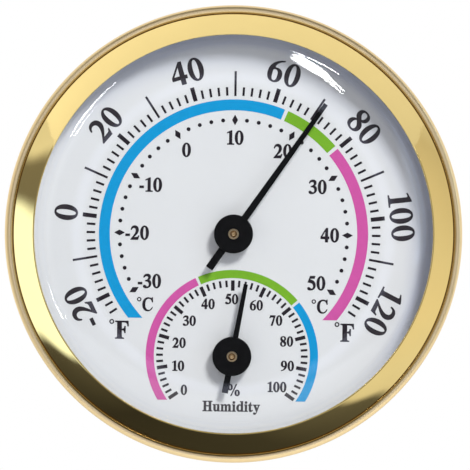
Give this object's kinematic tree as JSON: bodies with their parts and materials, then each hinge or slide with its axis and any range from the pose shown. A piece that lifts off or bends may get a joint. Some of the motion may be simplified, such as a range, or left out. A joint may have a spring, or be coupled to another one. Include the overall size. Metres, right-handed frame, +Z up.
{
  "type": "dial thermometer and hygrometer",
  "caption": "Round wall instrument with a domed lens over a printed dial, and two pointers driven by spiral coils that show temperature and relative humidity.",
  "frame": {"origin": "centre of the back, on the wall plane, where the dial's axis meets it", "axes": "+Y into the wall along the dial's axis, so the dial faces -Y, +Z up, +X to the right as seen from the front"},
  "size_m": [0.1, 0.025, 0.1],
  "materials": {
    "gold_bezel": "polished gold-coloured plating",
    "clear_lens": "clear, polished, domed",
    "gasket": "pale grey, matte",
    "white_plastic": "white, matte",
    "dial_face": "white enamel with printed scales",
    "black_case": "black, finely grained",
    "black_pointer": "black, satin",
    "movement_brass": "turned brass",
    "movement_steel": "plated steel",
    "coil_metal": "rolled strip, satin",
    "stand_steel": "bright plated wire",
    "black_rubber": "matte"
  },
  "bodies": {
    "case": {"rear_case": "black_case", "bezel_ring": "gold_bezel", "lens": "clear_lens", "lens_gasket": "gasket", "dial_spacer_ring": "white_plastic", "dial_plate": "dial_face", "movement_plate": "movement_steel", "movement_plate_screw_1": "movement_steel", "movement_plate_screw_2": "movement_steel", "movement_plate_screw_3": "movement_steel", "temperature_bridge": "movement_steel", "temperature_front_bush": "movement_brass", "temperature_rear_bush": "movement_brass", "temperature_bridge_screw_1": "movement_steel", "temperature_bridge_screw_2": "movement_steel", "humidity_bridge": "movement_steel", "humidity_front_bush": "movement_brass", "humidity_rear_bush": "movement_brass", "humidity_bridge_screw_1": "movement_steel", "humidity_bridge_screw_2": "movement_steel"},
    "temperature_adjuster": {"temperature_adjuster": "movement_brass", "temperature_coil": "coil_metal"},
    "temperature_pointer": {"temperature_pointer": "black_pointer", "temperature_pointer_bush": "movement_brass", "temperature_shaft": "movement_steel", "temperature_collet": "movement_brass"},
    "humidity_adjuster": {"humidity_adjuster": "movement_brass", "humidity_coil": "coil_metal"},
    "humidity_pointer": {"humidity_pointer": "black_pointer", "humidity_pointer_bush": "movement_brass", "humidity_shaft": "movement_steel", "humidity_collet": "movement_brass"},
    "stand": {"stand_wire": "stand_steel", "stand_foot": "black_rubber"}
  },
  "joints": [
    {"name": "temperature_adjust", "type": "hinge", "parent": "case", "child": "temperature_adjuster", "pos_m": [0, -0.006, 0], "axis": [0, 1, 0], "range_deg": [-10, 10]},
    {"name": "temperature_turn", "type": "hinge", "parent": "temperature_adjuster", "child": "temperature_pointer", "pos_m": [0, -0.012, 0], "axis": [0, 1, 0], "range_deg": [-158, 88.6], "stiffness_Nm_per_rad": 0.0002},
    {"name": "humidity_adjust", "type": "hinge", "parent": "case", "child": "humidity_adjuster", "pos_m": [0, -0.006, -0.027], "axis": [0, 1, 0], "range_deg": [-10, 10]},
    {"name": "humidity_turn", "type": "hinge", "parent": "humidity_adjuster", "child": "humidity_pointer", "pos_m": [0, -0.012, -0.027], "axis": [0, 1, 0], "range_deg": [-134.7, 114.3], "stiffness_Nm_per_rad": 0.0002},
    {"name": "stand_fold", "type": "hinge", "parent": "case", "child": "stand", "pos_m": [0, -0.0019, 0.004], "axis": [1, 0, 0], "range_deg": [0, 40]}
  ]
}
